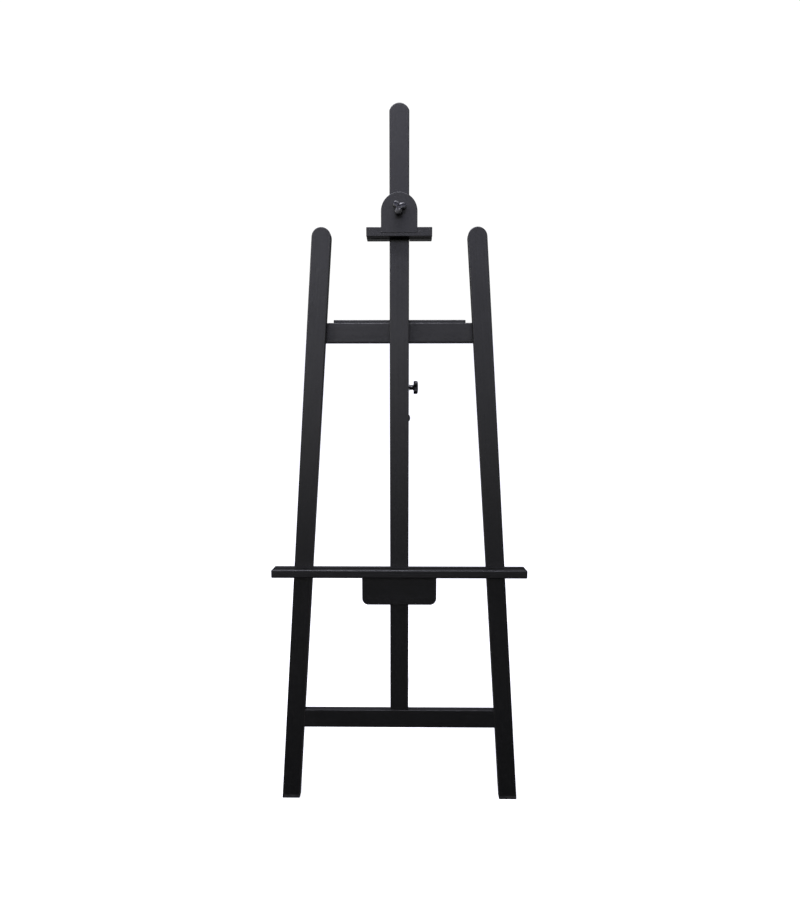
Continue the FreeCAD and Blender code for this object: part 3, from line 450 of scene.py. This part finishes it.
def knob_rings(hub, hub_length, outer, height):
    """Rings of points from the hub's foot to the dished middle of the top."""
    angles = [2 * math.pi * step / AROUND for step in range(AROUND)]

    def ring(reaches, z):
        return [
            Vector((reach * math.cos(angle), reach * math.sin(angle), z))
            for angle, reach in zip(angles, reaches)
        ]

    outline = [lobed(angle, outer) for angle in angles]
    rings = [ring([radius] * AROUND, z) for z, radius in hub_rows(hub, hub_length)]
    for z, inset in head_rows(hub_length, height):
        rings.append(ring([reach - inset for reach in outline], z))
    rim = [reach - HEAD_INSET - UPPER_ROUND - DISH for reach in outline]
    for part in CROWN_PARTS:
        rings.append(ring([DISH + reach * part for reach in rim], height - CROWN * part ** 2))
    rings += [ring([reach] * AROUND, height - drop) for reach, drop in DISH_ROWS]
    return rings


def knob_mesh(name, rings):
    """A smooth closed skin over a stack of rings."""
    faces = []
    for row in range(len(rings) - 1):
        low, high = row * AROUND, (row + 1) * AROUND
        for step in range(AROUND):
            after = (step + 1) % AROUND
            faces.append((low + step, low + after, high + after, high + step))
    faces.append(tuple(reversed(range(AROUND))))
    faces.append(tuple(range((len(rings) - 1) * AROUND, len(rings) * AROUND)))
    data = bpy.data.meshes.new(name)
    data.from_pydata([tuple(point) for ring in rings for point in ring], [], faces)
    data.update()
    for polygon in data.polygons:
        polygon.use_smooth = True
    piece = bpy.data.objects.new(name, data)
    bpy.context.scene.collection.objects.link(piece)
    return piece


def make_knob(body, outward, finish):
    """A moulded knob in the place of its CAD solid: same axis, same hub, same three lobes."""
    axis = outward.normalized()
    centre = Vector(JOINTS[body + "_turn"]["pos_m"])
    points = [vertex.co - centre for vertex in NODES[body].data.vertices]
    heights = [point.dot(axis) for point in points]
    spans = [point - axis * height for point, height in zip(points, heights)]
    base, top = min(heights), max(heights)
    far = max(spans, key=lambda span: span.length)
    rows = list(zip(spans, heights))
    hub = max(span.length for span, height in rows if height < base + HUB_FOOT_BAND)
    underside = min(height for span, height in rows if span.length > hub + HEAD_OVERHANG)
    piece = knob_mesh(body + "_moulding", knob_rings(hub, underside - base, far.length, top - base))
    lobe = far.normalized()
    turn = Matrix((lobe, axis.cross(lobe), axis)).transposed().to_4x4()
    piece.matrix_world = Matrix.Translation(centre + axis * base) @ turn
    piece.data.materials.append(finish)
    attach(piece, body)
    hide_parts(body)


# ---------------------------------------------------------------- studio and camera

EYE_SIDE = 0.0205
EYE_AHEAD = 1.322
EYE_HEIGHT = 1.160
EYE_PITCH = math.radians(20.10)
EYE_YAW = math.radians(0.745)
EYE_ROLL = math.radians(-0.142)
SENSOR = 36.0
LENS = 27.75
SHIFT_UP = 0.0889


def make_camera():
    """A standing person's view, looking slightly down, kept upright by a small lens shift."""
    data = bpy.data.cameras.new("camera")
    data.sensor_width = SENSOR
    data.lens = LENS
    data.shift_y = SHIFT_UP
    camera = bpy.data.objects.new("camera", data)
    bpy.context.scene.collection.objects.link(camera)
    place = Matrix.Translation((EYE_SIDE, cad_low.y - EYE_AHEAD, EYE_HEIGHT))
    aim = Matrix.Rotation(EYE_YAW, 4, "Z") @ Matrix.Rotation(math.pi / 2 - EYE_PITCH, 4, "X")
    camera.matrix_world = place @ aim @ Matrix.Rotation(EYE_ROLL, 4, "Z")
    bpy.context.scene.camera = camera


FRONT_RISE = (0.105, 0.36, 0.003, 1.45)
FRONT_TOP = (0.46, 0.62, 1.0, 0.15)
REAR_RISE = (0.20, 0.40, 0.06, 0.45)
REAR_SPAN = (-0.25, 0.25)
WING_SPAN = (0.50, 0.80)
WING_LEVEL = 0.50
LEFT_GAIN = -0.6
DOME_COLOURS = (WHITE, (0.97, 0.97, 1.36))
BLUE_SPAN = (0.30, 0.52)
SURROUND = 1.05
OVERHEAD = {
    "place": (-0.2, -0.35, 2.85), "target": (0, 0.15, 1.2),
    "width": 1.3, "height": 0.7, "power": 50, "colour": (0.88, 0.88, 0.98),
}
SPARK = {
    "place": (-1.0, -0.8, 1.75), "target": (0, 0, 1.28),
    "width": 0.08, "height": 0.3, "power": 5, "colour": WHITE,
}


def make_dome():
    """A band of light above eye level in front, dimmer behind and at the sides.

    The camera itself sees plain white instead.
    """
    world = bpy.data.worlds.new("studio")
    bpy.context.scene.world = world
    world.use_nodes = True
    world.node_tree.nodes.clear()
    sky = Nodes(world.node_tree)
    parts = sky.add("SeparateXYZ", {0: sky.add("TexCoord").outputs["Generated"]})
    side, depth, height = parts.outputs

    def toward(level, other, share):
        change = sky.math("MULTIPLY", share, sky.math("SUBTRACT", other, level))
        return sky.math("ADD", level, change)

    front = sky.math("MULTIPLY", sky.remap(height, *FRONT_RISE), sky.remap(height, *FRONT_TOP))
    level = toward(front, sky.remap(height, *REAR_RISE), sky.remap(depth, *REAR_SPAN))
    level = sky.math("MULTIPLY", level, sky.math("ADD", 1.0, sky.scaled(side, LEFT_GAIN)))
    level = toward(level, WING_LEVEL, sky.remap(sky.math("ABSOLUTE", side), *WING_SPAN))
    colour = sky.tones(height, DOME_COLOURS, BLUE_SPAN)
    dome = sky.add("Background", {"Strength": level, "Color": colour})
    plain = sky.add("Background", values={"Color": (*WHITE, 1.0), "Strength": SURROUND})
    seen = sky.add("LightPath").outputs["Is Camera Ray"]
    both = sky.add("MixShader", {0: seen, 1: dome.outputs[0], 2: plain.outputs[0]})
    sky.add("OutputWorld", {"Surface": both.outputs[0]})


def softbox(name, place, target, width, height, power, colour):
    """A rectangular area light that faces a target."""
    data = bpy.data.lights.new(name, "AREA")
    data.shape = "RECTANGLE"
    data.size = width
    data.size_y = height
    data.energy = power
    data.color = colour
    lamp = bpy.data.objects.new(name, data)
    lamp.location = place
    lamp.rotation_euler = (Vector(target) - Vector(place)).to_track_quat("-Z", "Y").to_euler()
    bpy.context.scene.collection.objects.link(lamp)


FLOOR_REACH = 14.0
FLOOR_TONES = ((0.86, 0.86, 0.86), (0.90, 0.90, 0.90))
FLOOR_GLOW = 0.72
PATCH_REACH = 2.5
PATCH_DEPTHS = (0.9, 4.0)
PATCH_GLOW = 0.17


def level_sheet(name, reach, depths, material):
    """A flat rectangle on the floor, a reach to each side, between two depths."""
    near, far = depths
    data = bpy.data.meshes.new(name)
    corners = [(-reach, near, 0), (reach, near, 0), (reach, far, 0), (-reach, far, 0)]
    data.from_pydata(corners, [], [(0, 1, 2, 3)])
    data.materials.append(material)
    sheet = bpy.data.objects.new(name, data)
    bpy.context.scene.collection.objects.link(sheet)
    sheet.visible_diffuse = False
    return sheet


def glowing(name, strength, **uniform):
    return Shader(name, Emission_Color=(*WHITE, 1.0), Emission_Strength=strength, **uniform)


def make_floor():
    """A plain pale floor that runs out of sight, and a pale patch behind, for undersides."""
    pale = glowing("pale_floor", FLOOR_GLOW, Roughness=0.85)
    cloud = pale.noise(object_place(pale), scale=30, detail=4)
    pale.feed(Base_Color=pale.blend(cloud, *FLOOR_TONES))
    floor = level_sheet("floor", FLOOR_REACH, (-FLOOR_REACH, FLOOR_REACH), pale.material)
    floor.visible_glossy = False
    glow = glowing("pale_patch", PATCH_GLOW, Base_Color=(0, 0, 0, 1))
    patch = level_sheet("floor_patch", PATCH_REACH, PATCH_DEPTHS, glow.material)
    patch.visible_camera = False
    patch.visible_shadow = False


def make_studio():
    make_dome()
    make_floor()
    softbox("overhead", **OVERHEAD)
    softbox("spark", **SPARK)
    bpy.context.scene.view_settings.view_transform = "Standard"


make_camera()
make_studio()
finish_pieces()
knob_plastic = moulded_plastic("plastic_moulded")
make_knob("tilt_knob", X_AXIS, knob_plastic)
make_knob("clamp_knob", -PLANE_REAR, knob_plastic)
make_knob("tray_knob", PLANE_REAR, knob_plastic)
